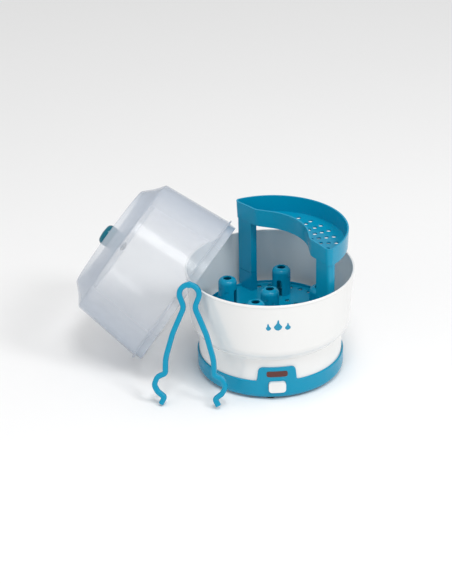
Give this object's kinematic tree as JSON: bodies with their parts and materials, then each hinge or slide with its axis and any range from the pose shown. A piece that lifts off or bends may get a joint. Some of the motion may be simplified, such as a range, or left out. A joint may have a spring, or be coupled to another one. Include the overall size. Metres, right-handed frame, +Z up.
{
  "type": "bottle sterilizer",
  "caption": "Electric steam bottle sterilizer: white bowl on a teal base, bottle rack with hollow pegs, crescent tray on legs, frosted lid leaning beside it and springy tongs.",
  "frame": {"origin": "on the table under the middle of the bowl", "axes": "+Z up, the control panel faces -Y, +X to the right of someone facing the panel"},
  "size_m": [0.3955, 0.2961, 0.2496],
  "materials": {
    "white_plastic": "moulded, glossy",
    "teal_plastic": "moulded, satin gloss",
    "frosted_plastic": "translucent, frosted",
    "black_plastic": "moulded",
    "rubber": "soft, matt",
    "silicone": "soft silicone",
    "steel": "zinc plated",
    "stainless": "brushed stainless",
    "element_sheath": "heat-tinted sheath",
    "brass": "machined",
    "phenolic": "heat-proof moulding",
    "nylon": "moulded",
    "wire_insulation": "silicone-glass sleeve",
    "red_lens": "tinted, clear",
    "lamp_glass": "neon lamp"
  },
  "bodies": {
    "root": {"bowl_body": "white_plastic", "base_ring": "teal_plastic", "bottom_cover": "teal_plastic", "rubber_feet": "rubber", "base_screws": "steel", "cord_gland": "black_plastic", "switch_body": "black_plastic", "switch_spring": "steel", "indicator_lens": "red_lens", "indicator_lamp": "lamp_glass", "heating_plate": "stainless", "plate_seal": "silicone", "plate_retainer": "steel", "retainer_screws": "steel", "heating_element": "element_sheath", "element_clamp": "steel", "clamp_nut": "steel", "thermostat": "phenolic", "thermal_fuse": "steel", "fuse_clip": "steel", "terminal_block": "nylon", "terminal_screws": "brass", "wiring": "wire_insulation"},
    "button": {"switch_button": "white_plastic"},
    "rack": {"bottle_rack": "teal_plastic"},
    "tray": {"accessory_tray": "teal_plastic", "tray_leg_left": "teal_plastic", "tray_leg_right": "teal_plastic"},
    "lid": {"lid_shell": "frosted_plastic", "lid_knob": "teal_plastic", "knob_washer": "silicone", "knob_screw": "steel"},
    "tongs": {"tongs_left": "teal_plastic"},
    "tongs_arm": {"tongs_right": "teal_plastic"}
  },
  "joints": [
    {"name": "power_press", "type": "slide", "parent": "root", "child": "button", "axis": [-0.0889, 0.996, 0], "range_m": [0, 0.0025], "stiffness_N_per_m": 300},
    {"name": "rack_lift", "type": "slide", "parent": "root", "child": "rack", "axis": [0, 0, 1], "range_m": [0, 0.05]},
    {"name": "tray_lift", "type": "slide", "parent": "rack", "child": "tray", "axis": [0, 0, 1], "range_m": [0, 0.1]},
    {"name": "lid_lift", "type": "slide", "parent": "root", "child": "lid", "axis": [-0.8048, 0.2491, 0.5388], "range_m": [0, 0.12]},
    {"name": "tongs_lift", "type": "slide", "parent": "root", "child": "tongs", "axis": [0, 0, 1], "range_m": [0, 0.08]},
    {"name": "tongs_squeeze", "type": "hinge", "parent": "tongs", "child": "tongs_arm", "pos_m": [-0.11009, -0.07709, 0.16849], "axis": [0.1261, 0.9581, -0.2571], "range_deg": [0, 11], "stiffness_Nm_per_rad": 1}
  ]
}
